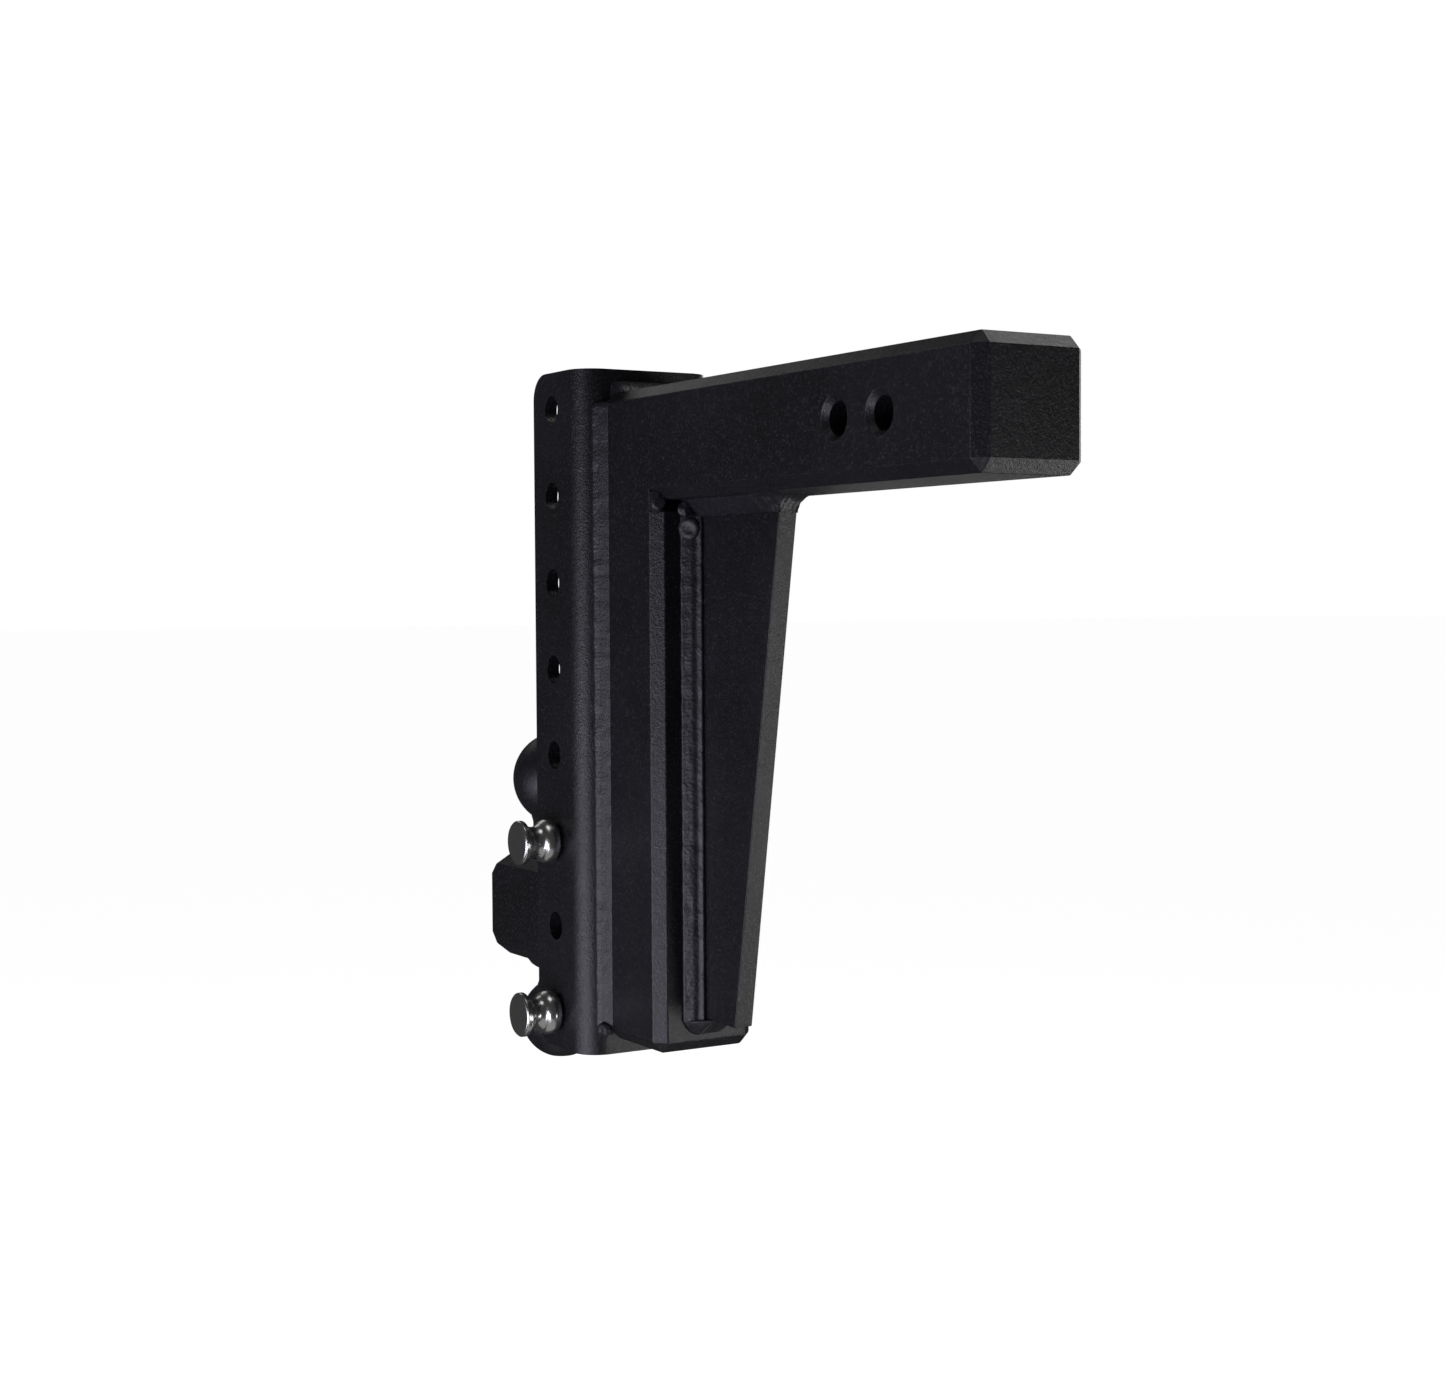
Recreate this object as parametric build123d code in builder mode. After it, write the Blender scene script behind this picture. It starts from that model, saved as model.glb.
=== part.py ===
from build123d import *
from math import sqrt
import os

# Weight-bearing adjustable trailer hitch with a reversible two-ball mount.
# Millimetres. The origin is the centre of the outer hitch-pin hole through the shank.
# +X runs along the shank towards the vehicle, +Y is across the hitch, +Z is up.
# "near" names the -Y side, "far" the +Y side.

INCH = 25.4
EPS = 0.01

# Square bar stock that the shank, the drop bar and the ball block are sawn from
BAR = 2.5 * INCH
HALF = BAR / 2
CHAMFER = 0.25 * INCH

# Shank
SHANK_LENGTH = 14 * INCH
SHANK_END_X = 3 * INCH
SHANK_HOLE_SPACING = 1.5 * INCH
PIN_D = 0.625 * INCH
PIN_HOLE_D = PIN_D + 0.8
COUNTERSINK_D = 23.0

# Adjustment channel, bent from plate, with a row of pin holes through both flanges
WEB_X = SHANK_END_X - SHANK_LENGTH
CHANNEL_WIDTH = 3.5 * INCH
CHANNEL_DEPTH = 2.375 * INCH
CHANNEL_WALL = 0.3125 * INCH
CHANNEL_BEND_R = 16.0
CHANNEL_CORNER_R = 15.0
HOLE_PITCH = 2 * INCH
HOLE_COUNT = 8
HOLE_END_MARGIN = 21.5
PIN_LINE_X = WEB_X - 37.1
FIRST_HOLE_Z = 24.6
LAST_HOLE_Z = FIRST_HOLE_Z - (HOLE_COUNT - 1) * HOLE_PITCH
CHANNEL_TOP = FIRST_HOLE_Z + HOLE_END_MARGIN
CHANNEL_BOTTOM = LAST_HOLE_Z - HOLE_END_MARGIN
FLANGE_Y = CHANNEL_WIDTH / 2
FREE_EDGE_X = WEB_X - CHANNEL_DEPTH

# Drop bar and gusset under the shank
DROP_BOTTOM = CHANNEL_BOTTOM + 10.3
BAR_FACE_X = WEB_X + BAR
GUSSET_THICKNESS = 0.4375 * INCH
GUSSET_SIDE_Y = GUSSET_THICKNESS / 2
GUSSET_TOP_REACH = 3.5 * INCH
GUSSET_FOOT_REACH = 39.5
GUSSET_FOOT_Z = DROP_BOTTOM + 19.5

# Weld sizes: leg lengths, and how far a bead stands proud of its flat face
CHANNEL_BEAD_LEG = 10.5
CHANNEL_BEAD_TOE_Y = 36.5
TOP_BEAD_LEG = 12.0
TOP_BEAD_RISE = 7.7
GUSSET_BEAD_LEG = 10.0
GUSSET_BEAD_SIDE_LEG = 8.5
BEAD_CROWN = 1.2
CONVEX_ARC = 1.5
GUSSET_TOP_TAPER = 42
FOOT_TAPER = 38

# Ball mount
UPRIGHT_WIDTH = 72.0
UPRIGHT_DEPTH = 2 * INCH
UPRIGHT_HEIGHT = 4 * INCH + 2 * HOLE_END_MARGIN
UPRIGHT_FACE_X = PIN_LINE_X - UPRIGHT_DEPTH / 2
UPPER_PIN_Z = FIRST_HOLE_Z - 5 * HOLE_PITCH
LOWER_PIN_Z = LAST_HOLE_Z
MOUNT_Z = (UPPER_PIN_Z + LOWER_PIN_Z) / 2
BLOCK_LENGTH = 96.8
BLOCK_END_X = UPRIGHT_FACE_X - BLOCK_LENGTH
BLOCK_END_CUT = 0.75 * INCH
BALL_X = BLOCK_END_X + 41.2
BLOCK_BEAD_LEG = 6.0
BLOCK_BEAD_TAPER = 38

# Towing balls: (name, direction from the block, ball diameter, neck diameter, height of centre)
LARGE_BALL_D = 2.3125 * INCH
SMALL_BALL_D = 2.0 * INCH
BALLS = [
    ("large", 1, LARGE_BALL_D, 34.0, 48.9),
    ("small", -1, SMALL_BALL_D, 28.0, 39.7),
]
BALL_BEAD_LEG = 8.0
BALL_FLAT = 1.5

# Pull pins: a turned knob on the near side, and a groove in the far end for the lock
KNOB_GAP = 0.5
KNOB_LENGTH = 24.6
KNOB_R = 13.0
KNOB_BASE_R = 10.0
KNOB_BEAD_PEAK = 5.4
KNOB_BEAD_BACK = 10.8
KNOB_BEAD_BACK_R = 10.4
KNOB_WAIST = 15.2
KNOB_WAIST_R = 9.0
KNOB_RIM_R = 12.5
KNOB_RIM = 4.0
KNOB_RIM_SOFTENING = 0.5
KNOB_FACE_CHAMFER = 0.9
PIN_TIP_REACH = 17.0
PIN_TIP_CHAMFER = 1.5
PIN_GROOVE_Y = 7.0
PIN_GROOVE_WIDTH = 4.4
PIN_GROOVE_R = 5.6

# Keyed locks on the far ends of the pins
LOCK_R = 14.0
LOCK_LENGTH = 38.0
LOCK_GAP = 0.5
LOCK_BORE_R = PIN_D / 2 + 0.3
LOCK_EDGE = 1.0
SEAL_SEAT_R = 11.4
SEAL_SEAT_DEPTH = 2.6
SEAL_R = 1.2
LATCH_WIDTH = 6.0
LATCH_THICKNESS = 3.2
LATCH_LENGTH = 3.9
LATCH_INNER_X = 8.8
LATCH_CLEARANCE = 0.3
KEY_R = 6.0
KEY_LENGTH = 15.0
KEY_RECESS = 0.6
KEYWAY_WIDTH = 1.6
KEYWAY_HEIGHT = 7.0
KEYWAY_DEPTH = 9.0
CAP_WALL = 1.6
CAP_COVER = 12.0
CAP_CLEARANCE = 0.3

SIDES = [("near", -1), ("far", 1)]
PINS = [("upper", UPPER_PIN_Z), ("lower", LOWER_PIN_Z)]
FAR_FACE = FLANGE_Y + LOCK_GAP


def finish(part, name):
    part.label = name
    export_step(part, f"parts/{name}.step")


def cross_axis(x, z):
    """Plane whose local Y points up and whose normal runs along +Y of the hitch, at y = 0."""
    return Plane(origin=(x, 0, z), x_dir=(-1, 0, 0), z_dir=(0, 1, 0))


os.makedirs("parts", exist_ok=True)

# ---- Shank: solid square bar, all edges chamfered, two countersunk hitch-pin holes
with BuildPart() as shank_bar:
    with BuildSketch(Plane.YZ.offset(WEB_X)):
        Rectangle(BAR, BAR)
    extrude(amount=SHANK_LENGTH)
    chamfer(shank_bar.edges(), CHAMFER)
    for hole_x in (0, -SHANK_HOLE_SPACING):
        for side in (-1, 1):
            face = Plane(origin=(hole_x, side * HALF, 0), x_dir=(1, 0, 0), z_dir=(0, side, 0))
            with Locations(face):
                CounterSinkHole(PIN_HOLE_D / 2, COUNTERSINK_D / 2, depth=BAR, counter_sink_angle=90)
finish(shank_bar.part, "shank_bar")

# ---- Drop bar: the same stock, upright, butted under the shank
with BuildPart() as drop_bar:
    with BuildSketch(Plane.XY.offset(DROP_BOTTOM)):
        with Locations(((WEB_X + BAR_FACE_X) / 2, 0)):
            Rectangle(BAR, BAR)
    extrude(amount=-HALF - DROP_BOTTOM)
    chamfer(drop_bar.edges(), CHAMFER)
finish(drop_bar.part, "drop_bar")

# ---- Channel: bent plate, rounded free corners, eight hole pairs
with BuildPart() as channel:
    with BuildSketch(Plane.XY.offset(CHANNEL_BOTTOM)):
        with Locations((WEB_X - CHANNEL_DEPTH / 2, 0)):
            outline = Rectangle(CHANNEL_DEPTH, CHANNEL_WIDTH)
        fillet(outline.vertices().group_by(Axis.X)[-1], CHANNEL_BEND_R)
        inside_depth = CHANNEL_DEPTH - CHANNEL_WALL
        with BuildSketch(mode=Mode.PRIVATE) as inside:
            with Locations((FREE_EDGE_X + inside_depth / 2, 0)):
                Rectangle(inside_depth, CHANNEL_WIDTH - 2 * CHANNEL_WALL)
            fillet(inside.vertices().group_by(Axis.X)[-1], CHANNEL_BEND_R - CHANNEL_WALL)
        add(inside.sketch, mode=Mode.SUBTRACT)
    extrude(amount=CHANNEL_TOP - CHANNEL_BOTTOM)
    free_corners = channel.edges().filter_by(Axis.Y).group_by(Axis.X)[0]
    fillet(free_corners, CHANNEL_CORNER_R)
    with BuildSketch(cross_axis(PIN_LINE_X, 0)):
        with Locations(*[(0, FIRST_HOLE_Z - n * HOLE_PITCH) for n in range(HOLE_COUNT)]):
            Circle(PIN_HOLE_D / 2)
    extrude(amount=CHANNEL_WIDTH, both=True, mode=Mode.SUBTRACT)
finish(channel.part, "channel")

# ---- Gusset: tapered plate under the shank, on the centre line
with BuildPart() as gusset_plate:
    with BuildSketch(Plane.XZ.offset(-GUSSET_SIDE_Y)):
        with BuildLine():
            Polyline(
                (BAR_FACE_X, -HALF),
                (BAR_FACE_X + GUSSET_TOP_REACH, -HALF),
                (BAR_FACE_X + GUSSET_FOOT_REACH, GUSSET_FOOT_Z),
                (BAR_FACE_X, GUSSET_FOOT_Z),
                close=True,
            )
        make_face()
    extrude(amount=GUSSET_THICKNESS)
finish(gusset_plate.part, "gusset_plate")

# ---- Long welds down both sides, closing the flare between each bar side and the channel's bend
bend_y = FLANGE_Y - CHANNEL_BEND_R
bend_x = WEB_X - CHANNEL_BEND_R


def on_bend(y):
    """A point of the channel's outer bend at this distance from the centre line."""
    return (bend_x + sqrt(CHANNEL_BEND_R**2 - (y - bend_y) ** 2), y)


for side_name, side in SIDES:
    toe_bar = (WEB_X + CHANNEL_BEAD_LEG, HALF)
    toe_bend = on_bend(CHANNEL_BEAD_TOE_Y)
    middle = on_bend((bend_y + CHANNEL_BEAD_TOE_Y) / 2)
    run = Vector(*toe_bend) - Vector(*toe_bar)
    outward = Vector(-run.Y, run.X).normalized() * -BEAD_CROWN
    crown = (Vector(*toe_bar) + Vector(*toe_bend)) * 0.5 + outward
    points = [
        toe_bar,
        (WEB_X + CHAMFER, HALF),
        (WEB_X, HALF - CHAMFER),
        (WEB_X, bend_y),
    ]
    with BuildPart() as weld_channel:
        with BuildSketch(Plane.XY.offset(DROP_BOTTOM + CHAMFER)) as bead_section:
            with BuildLine():
                Polyline(*points)
                ThreePointArc((WEB_X, bend_y), middle, toe_bend)
                ThreePointArc(toe_bend, (crown.X, crown.Y), toe_bar)
            make_face()
            if side < 0:
                mirror(about=Plane.XZ, mode=Mode.REPLACE)
        extrude(amount=HALF - CHAMFER - (DROP_BOTTOM + CHAMFER))
    finish(weld_channel.part, f"weld_channel_{side_name}")

# ---- Weld across the top of the shank, against the channel's web
with BuildPart() as weld_channel_top:
    with BuildSketch(Plane.XZ.offset(-(HALF - CHAMFER))):
        with BuildLine():
            Polyline(
                (WEB_X + TOP_BEAD_LEG, HALF),
                (WEB_X + CHAMFER, HALF),
                (WEB_X, HALF - CHAMFER),
                (WEB_X, HALF + TOP_BEAD_RISE),
            )
            RadiusArc((WEB_X, HALF + TOP_BEAD_RISE), (WEB_X + TOP_BEAD_LEG, HALF), TOP_BEAD_LEG * CONVEX_ARC)
        make_face()
    extrude(amount=2 * (HALF - CHAMFER))
finish(weld_channel_top.part, "weld_channel_top")

# ---- Groove welds between shank and drop bar, dressed flush with the bar sides
for side_name, side in SIDES:
    with BuildPart() as weld_seam:
        with BuildSketch(Plane.YZ.offset(WEB_X + CHAMFER)):
            with BuildLine():
                Polyline(
                    (side * HALF, -HALF + CHAMFER),
                    (side * (HALF - CHAMFER), -HALF),
                    (side * HALF, -HALF - CHAMFER),
                    close=True,
                )
            make_face()
        extrude(amount=BAR - 2 * CHAMFER)
    finish(weld_seam.part, f"weld_seam_{side_name}")

# ---- Fillet welds down both sides of the gusset, on the drop bar's face
for side_name, side in SIDES:
    with BuildPart() as weld_gusset:
        with BuildSketch(Plane.XY.offset(GUSSET_FOOT_Z)):
            with BuildLine():
                toe_face = (BAR_FACE_X, side * (GUSSET_SIDE_Y + GUSSET_BEAD_LEG))
                toe_plate = (BAR_FACE_X + GUSSET_BEAD_SIDE_LEG, side * GUSSET_SIDE_Y)
                Polyline(toe_plate, (BAR_FACE_X, side * GUSSET_SIDE_Y), toe_face)
                RadiusArc(toe_face, toe_plate, side * GUSSET_BEAD_LEG * CONVEX_ARC)
            make_face()
        extrude(amount=-HALF - GUSSET_BEAD_LEG - GUSSET_FOOT_Z)
    finish(weld_gusset.part, f"weld_gusset_{side_name}")

# ---- Weld along the gusset's top, under the shank, wrapped round the gusset's front end
gusset_end_x = BAR_FACE_X + GUSSET_TOP_REACH
with BuildPart() as weld_gusset_top:
    with BuildSketch(Plane.XY.offset(-HALF)):
        with Locations(((BAR_FACE_X + gusset_end_x) / 2, 0)):
            Rectangle(GUSSET_TOP_REACH, GUSSET_THICKNESS + 2 * GUSSET_BEAD_LEG)
        with Locations((gusset_end_x, 0)):
            Circle(GUSSET_SIDE_Y + GUSSET_BEAD_LEG)
    extrude(amount=-GUSSET_BEAD_LEG, taper=GUSSET_TOP_TAPER)
    add(gusset_plate.part, mode=Mode.SUBTRACT)
    split(bisect_by=Plane.YZ.offset(BAR_FACE_X + EPS), keep=Keep.TOP)
finish(weld_gusset_top.part, "weld_gusset_top")

# ---- Weld under the gusset's foot, on the drop bar's face
with BuildPart() as weld_gusset_foot:
    with BuildSketch(Plane.YZ.offset(BAR_FACE_X)):
        with Locations((0, GUSSET_FOOT_Z)):
            Circle(GUSSET_SIDE_Y + GUSSET_BEAD_LEG)
    extrude(amount=GUSSET_BEAD_LEG, taper=FOOT_TAPER)
    split(bisect_by=Plane.XY.offset(GUSSET_FOOT_Z), keep=Keep.BOTTOM)
finish(weld_gusset_foot.part, "weld_gusset_foot")

# ---- Ball mount: upright that fills the channel, cross-drilled for both pins
with BuildPart() as mount_upright:
    with BuildSketch(Plane.XY.offset(MOUNT_Z - UPRIGHT_HEIGHT / 2)):
        with Locations((PIN_LINE_X, 0)):
            Rectangle(UPRIGHT_DEPTH, UPRIGHT_WIDTH)
    extrude(amount=UPRIGHT_HEIGHT)
    chamfer(mount_upright.edges(), CHAMFER)
    with BuildSketch(cross_axis(PIN_LINE_X, 0)):
        with Locations((0, UPPER_PIN_Z), (0, LOWER_PIN_Z)):
            Circle(PIN_HOLE_D / 2)
    extrude(amount=UPRIGHT_WIDTH, both=True, mode=Mode.SUBTRACT)
finish(mount_upright.part, "mount_upright")

# ---- Ball block: a level length of the same bar between the two balls, its free end's corners sawn off
with BuildPart() as ball_block:
    with BuildSketch(Plane.YZ.offset(BLOCK_END_X)):
        with Locations((0, MOUNT_Z)):
            Rectangle(BAR, BAR)
    extrude(amount=BLOCK_LENGTH)
    chamfer(ball_block.edges(), CHAMFER)
    for up in (-1, 1):
        with BuildSketch(Plane.XZ.offset(-HALF)):
            with BuildLine():
                Polyline(
                    (BLOCK_END_X, MOUNT_Z + up * HALF),
                    (BLOCK_END_X, MOUNT_Z + up * (HALF - BLOCK_END_CUT)),
                    (BLOCK_END_X + BLOCK_END_CUT, MOUNT_Z + up * HALF),
                    close=True,
                )
            make_face()
        extrude(amount=BAR, mode=Mode.SUBTRACT)
finish(ball_block.part, "ball_block")

# ---- Weld all round the block's root, filling its chamfer against the upright
with BuildPart() as weld_block:
    with BuildSketch(Plane.YZ.offset(UPRIGHT_FACE_X)):
        with Locations((0, MOUNT_Z)):
            RectangleRounded(2 * HALF + EPS, 2 * (HALF + BLOCK_BEAD_LEG), CHAMFER)
    extrude(amount=-(CHAMFER + BLOCK_BEAD_LEG), taper=BLOCK_BEAD_TAPER)
    add(ball_block.part, mode=Mode.SUBTRACT)
finish(weld_block.part, "weld_block")

# ---- Towing balls, each turned with its neck, and the weld round each neck
for ball_name, up, ball_d, neck_d, centre_height in BALLS:
    seat_z = MOUNT_Z + up * HALF
    centre_z = seat_z + up * centre_height
    neck_r = neck_d / 2
    neck_top = sqrt((ball_d / 2) ** 2 - neck_r**2)
    crown_z = sqrt((ball_d / 2) ** 2 - (ball_d / 4) ** 2)
    flat_height = ball_d / 2 - BALL_FLAT
    flat_r = sqrt((ball_d / 2) ** 2 - flat_height**2)
    axis_frame = Plane(origin=(BALL_X, 0, centre_z), x_dir=(1, 0, 0), z_dir=(0, -1, 0))
    with BuildPart() as towing_ball:
        with BuildSketch(axis_frame):
            with BuildLine():
                Polyline(
                    (0, up * flat_height),
                    (0, -up * centre_height),
                    (neck_r, -up * centre_height),
                    (neck_r, -up * neck_top),
                )
                ThreePointArc((neck_r, -up * neck_top), (ball_d / 2, 0), (flat_r, up * flat_height))
                Line((flat_r, up * flat_height), (0, up * flat_height))
            make_face()
        revolve(axis=Axis((BALL_X, 0, centre_z), (0, 0, 1)))
    finish(towing_ball.part, f"towing_ball_{ball_name}")

    with BuildPart() as weld_ball:
        with BuildSketch(axis_frame):
            with BuildLine():
                toe_block = (neck_r + BALL_BEAD_LEG, -up * centre_height)
                toe_neck = (neck_r, up * (BALL_BEAD_LEG - centre_height))
                Polyline(toe_block, (neck_r, -up * centre_height), toe_neck)
                RadiusArc(toe_neck, toe_block, up * BALL_BEAD_LEG * CONVEX_ARC)
            make_face()
        revolve(axis=Axis((BALL_X, 0, centre_z), (0, 0, 1)))
    finish(weld_ball.part, f"weld_ball_{ball_name}")

# ---- Pull pins and their keyed locks, one set through each pinned hole pair
pin_r = PIN_D / 2
pin_tip = FLANGE_Y + PIN_TIP_REACH
groove_start = FAR_FACE + PIN_GROOVE_Y
knob_face = -FLANGE_Y - KNOB_GAP
knob_end = knob_face - KNOB_LENGTH
bead_back = (KNOB_BEAD_BACK_R, knob_face - KNOB_BEAD_BACK)
rim_start = (KNOB_RIM_R, knob_end + KNOB_RIM)
for set_name, pin_z in PINS:
    pin_frame = Plane(origin=(PIN_LINE_X, 0, pin_z), x_dir=(1, 0, 0), z_dir=(0, 0, 1))
    pin_axis = Axis((PIN_LINE_X, 0, pin_z), (0, 1, 0))
    with BuildPart() as pull_pin:
        with BuildSketch(pin_frame):
            with BuildLine():
                Polyline(
                    (0, knob_end),
                    (0, pin_tip),
                    (pin_r - PIN_TIP_CHAMFER, pin_tip),
                    (pin_r, pin_tip - PIN_TIP_CHAMFER),
                    (pin_r, groove_start + PIN_GROOVE_WIDTH),
                    (PIN_GROOVE_R, groove_start + PIN_GROOVE_WIDTH),
                    (PIN_GROOVE_R, groove_start),
                    (pin_r, groove_start),
                    (pin_r, knob_face),
                    (KNOB_BASE_R, knob_face),
                )
                ThreePointArc((KNOB_BASE_R, knob_face), (KNOB_R, knob_face - KNOB_BEAD_PEAK), bead_back)
                ThreePointArc(bead_back, (KNOB_WAIST_R, knob_face - KNOB_WAIST), rim_start)
                Polyline(
                    rim_start,
                    (KNOB_R, knob_end + KNOB_RIM - KNOB_RIM_SOFTENING),
                    (KNOB_R, knob_end + KNOB_FACE_CHAMFER),
                    (KNOB_R - KNOB_FACE_CHAMFER, knob_end),
                    (0, knob_end),
                )
            make_face()
        revolve(axis=pin_axis)
    finish(pull_pin.part, f"pull_pin_{set_name}")

    latch_y = groove_start + PIN_GROOVE_WIDTH / 2
    lock_end = FAR_FACE + LOCK_LENGTH
    pocket_outer = LATCH_INNER_X + LATCH_LENGTH + LATCH_CLEARANCE
    with BuildPart() as lock_body:
        with BuildSketch(cross_axis(PIN_LINE_X, pin_z).offset(FAR_FACE)):
            Circle(LOCK_R)
        extrude(amount=LOCK_LENGTH)
        chamfer(lock_body.edges().filter_by(GeomType.CIRCLE), LOCK_EDGE)
        with BuildSketch(cross_axis(PIN_LINE_X, pin_z).offset(FAR_FACE)):
            Circle(LOCK_BORE_R)
        extrude(amount=PIN_TIP_REACH + LOCK_GAP, mode=Mode.SUBTRACT)
        with BuildSketch(cross_axis(PIN_LINE_X, pin_z).offset(FAR_FACE)):
            Circle(SEAL_SEAT_R)
        extrude(amount=SEAL_SEAT_DEPTH, mode=Mode.SUBTRACT)
        with BuildSketch(cross_axis(PIN_LINE_X, pin_z).offset(lock_end)):
            Circle(KEY_R + LATCH_CLEARANCE / 2)
        extrude(amount=-(KEY_LENGTH + KEY_RECESS), mode=Mode.SUBTRACT)
        with BuildSketch(Plane.YZ.offset(PIN_LINE_X)):
            with Locations((latch_y, pin_z)):
                Rectangle(LATCH_THICKNESS + LATCH_CLEARANCE, LATCH_WIDTH + LATCH_CLEARANCE)
        extrude(amount=pocket_outer, mode=Mode.SUBTRACT)
    finish(lock_body.part, f"lock_body_{set_name}")

    with BuildPart() as lock_seal:
        with BuildSketch(pin_frame):
            with Locations((SEAL_SEAT_R - SEAL_R, FAR_FACE + SEAL_R)):
                Circle(SEAL_R)
        revolve(axis=pin_axis)
    finish(lock_seal.part, f"lock_seal_{set_name}")

    with BuildPart() as latch_bolt:
        with BuildSketch(Plane.YZ.offset(PIN_LINE_X + LATCH_INNER_X)):
            with Locations((latch_y, pin_z)):
                Rectangle(LATCH_THICKNESS, LATCH_WIDTH)
        extrude(amount=LATCH_LENGTH)
    finish(latch_bolt.part, f"latch_bolt_{set_name}")

    key_face = lock_end - KEY_RECESS
    with BuildPart() as key_cylinder:
        with BuildSketch(cross_axis(PIN_LINE_X, pin_z).offset(key_face)):
            Circle(KEY_R)
        extrude(amount=-KEY_LENGTH)
        with BuildSketch(cross_axis(PIN_LINE_X, pin_z).offset(key_face)):
            Rectangle(KEYWAY_WIDTH, KEYWAY_HEIGHT)
        extrude(amount=-KEYWAY_DEPTH, mode=Mode.SUBTRACT)
    finish(key_cylinder.part, f"key_cylinder_{set_name}")

    cap_inner = LOCK_R + CAP_CLEARANCE
    with BuildPart() as dust_cap:
        with BuildSketch(cross_axis(PIN_LINE_X, pin_z).offset(lock_end + CAP_CLEARANCE + CAP_WALL)):
            Circle(cap_inner + CAP_WALL)
        extrude(amount=-(CAP_COVER + CAP_WALL))
        fillet(dust_cap.faces().sort_by(Axis.Y)[-1].edges(), CAP_WALL)
        with BuildSketch(cross_axis(PIN_LINE_X, pin_z).offset(lock_end + CAP_CLEARANCE)):
            Circle(cap_inner)
        extrude(amount=-CAP_COVER, mode=Mode.SUBTRACT)
    finish(dust_cap.part, f"dust_cap_{set_name}")
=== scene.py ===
import random
from math import asin, atan2, ceil, cos, floor, hypot, pi, radians, sin, sqrt

import bmesh
import bpy
from mathutils import Matrix, Vector, noise


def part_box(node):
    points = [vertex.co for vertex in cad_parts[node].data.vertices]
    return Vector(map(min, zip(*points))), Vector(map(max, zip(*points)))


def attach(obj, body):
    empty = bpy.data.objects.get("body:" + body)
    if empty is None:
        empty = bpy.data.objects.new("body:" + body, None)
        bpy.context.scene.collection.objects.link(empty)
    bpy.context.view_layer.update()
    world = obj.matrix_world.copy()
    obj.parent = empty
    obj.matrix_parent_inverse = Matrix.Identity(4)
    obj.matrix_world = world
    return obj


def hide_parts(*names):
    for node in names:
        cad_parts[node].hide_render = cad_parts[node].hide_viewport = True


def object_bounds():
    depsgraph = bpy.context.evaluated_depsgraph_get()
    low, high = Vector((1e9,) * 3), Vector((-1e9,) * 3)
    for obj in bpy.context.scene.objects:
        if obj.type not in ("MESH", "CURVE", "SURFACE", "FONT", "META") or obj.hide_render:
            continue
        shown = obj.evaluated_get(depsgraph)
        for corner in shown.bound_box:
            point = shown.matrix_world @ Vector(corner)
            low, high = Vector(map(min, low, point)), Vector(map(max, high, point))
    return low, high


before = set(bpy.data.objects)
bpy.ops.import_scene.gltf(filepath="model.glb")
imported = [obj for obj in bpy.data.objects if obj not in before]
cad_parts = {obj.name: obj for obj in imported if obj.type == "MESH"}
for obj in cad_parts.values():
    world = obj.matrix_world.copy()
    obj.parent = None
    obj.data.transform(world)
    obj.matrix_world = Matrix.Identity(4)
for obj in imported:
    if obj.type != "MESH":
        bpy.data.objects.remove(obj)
cad_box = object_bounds()
random.seed(7)

MM = 0.001

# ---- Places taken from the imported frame
shank_lo, shank_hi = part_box("shank_bar")
bar_lo, bar_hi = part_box("drop_bar")
channel_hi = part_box("channel")[1]
gusset_lo, gusset_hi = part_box("gusset_plate")
block_lo, block_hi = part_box("ball_block")

WEB_X = shank_lo.x
BAR_HALF = shank_hi.z
CHAMFER = 6.35 * MM
BAR_FACE_X = bar_hi.x
GUSSET_Y = gusset_hi.y
GUSSET_FOOT_X = BAR_FACE_X + 39.5 * MM
PIN_LINE_X = (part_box("pull_pin_upper")[0].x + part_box("pull_pin_upper")[1].x) / 2
BALL_X = (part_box("towing_ball_large")[0].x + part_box("towing_ball_large")[1].x) / 2
MOUNT_Z = (block_lo.z + block_hi.z) / 2
GUSSET_SLOPE = (gusset_hi.x - GUSSET_FOOT_X) / (gusset_hi.z - gusset_lo.z)


# ---- Node-graph helpers
def new_material(name):
    mat = bpy.data.materials.new(name)
    mat.use_nodes = True
    tree = mat.node_tree
    shader = tree.nodes["Principled BSDF"]
    return mat, tree, shader


def add_node(tree, kind, **inputs):
    node = tree.nodes.new(kind)
    for key, value in inputs.items():
        node.inputs[key.replace("_", " ")].default_value = value
    return node


def noise_node(tree, vector, scale, detail=3.0, rough=0.55):
    node = add_node(tree, "ShaderNodeTexNoise", Scale=scale, Detail=detail, Roughness=rough)
    tree.links.new(vector, node.inputs["Vector"])
    return node.outputs["Fac"]


def ramp(tree, value, stops):
    """Colour ramp from a list of (position, grey or colour)."""
    node = tree.nodes.new("ShaderNodeValToRGB")
    tree.links.new(value, node.inputs["Fac"])
    elements = node.color_ramp.elements
    while len(elements) < len(stops):
        elements.new(0.5)
    for element, (place, colour) in zip(elements, stops):
        element.position = place
        rgb = colour if isinstance(colour, tuple) else (colour,) * 3
        element.color = (*rgb, 1.0)
    return node.outputs["Color"]


def math_node(tree, operation, a, b, clamp=False):
    node = tree.nodes.new("ShaderNodeMath")
    node.operation = operation
    node.use_clamp = clamp
    for socket, value in zip(node.inputs, (a, b)):
        if isinstance(value, (int, float)):
            socket.default_value = value
        else:
            tree.links.new(value, socket)
    return node.outputs["Value"]


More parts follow.
